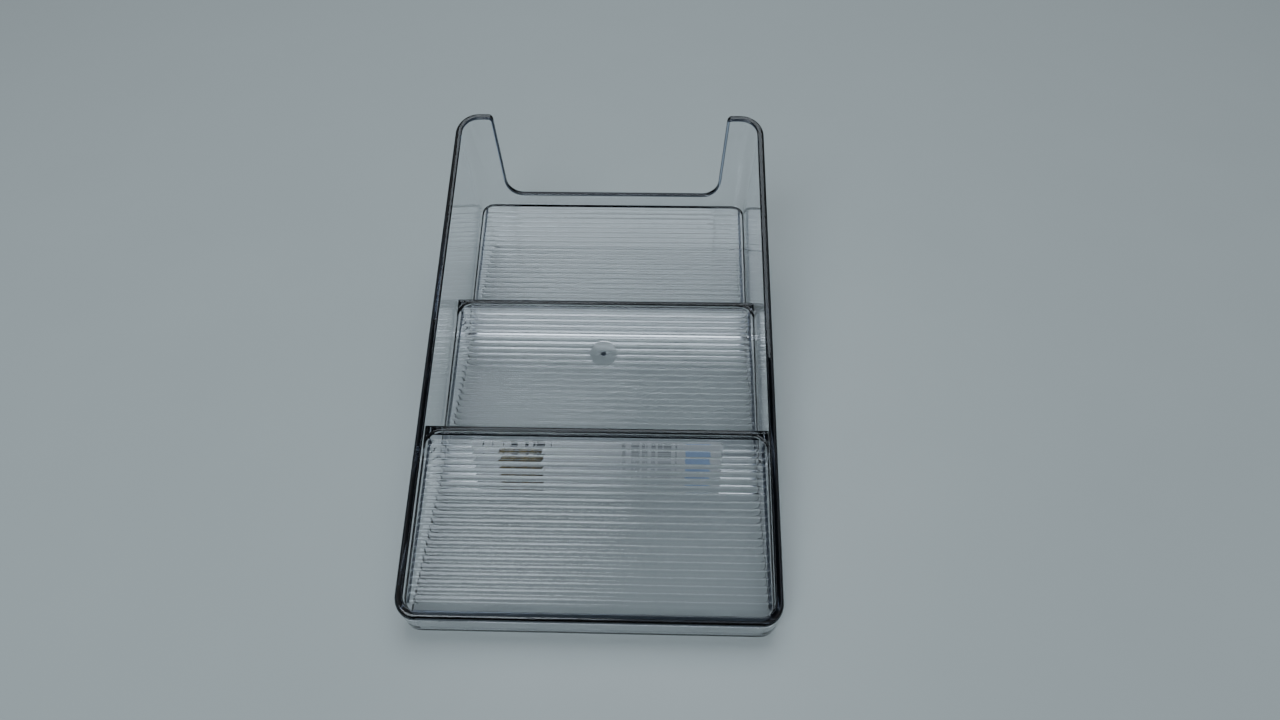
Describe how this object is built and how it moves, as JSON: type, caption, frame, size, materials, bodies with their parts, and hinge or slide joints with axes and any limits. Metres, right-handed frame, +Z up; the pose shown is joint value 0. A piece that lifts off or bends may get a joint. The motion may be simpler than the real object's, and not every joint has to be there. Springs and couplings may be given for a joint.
{
  "type": "desk organizer",
  "caption": "Clear moulded desk organizer with a low front, rising side rims, ribbed sloping trays and a scooped back between tall corners.",
  "frame": {"origin": "under the middle of the organizer's box, on the surface it stands on", "axes": "+X to the right seen from the low front, +Y from the low front to the tall back, +Z up"},
  "size_m": [0.1298, 0.194, 0.0715],
  "materials": {
    "clear_moulding": "clear polished moulding with a faint cool tint",
    "label_paper": "matte white paper label with plain colour blocks"
  },
  "bodies": {
    "root": {"front_wall": "clear_moulding", "left_wall": "clear_moulding", "right_wall": "clear_moulding", "back_wall": "clear_moulding", "left_horn": "clear_moulding", "right_horn": "clear_moulding", "front_tray_floor": "clear_moulding", "middle_tray_floor": "clear_moulding", "rear_tray_floor": "clear_moulding", "front_divider": "clear_moulding", "rear_divider": "clear_moulding", "label": "label_paper"}
  },
  "joints": []
}
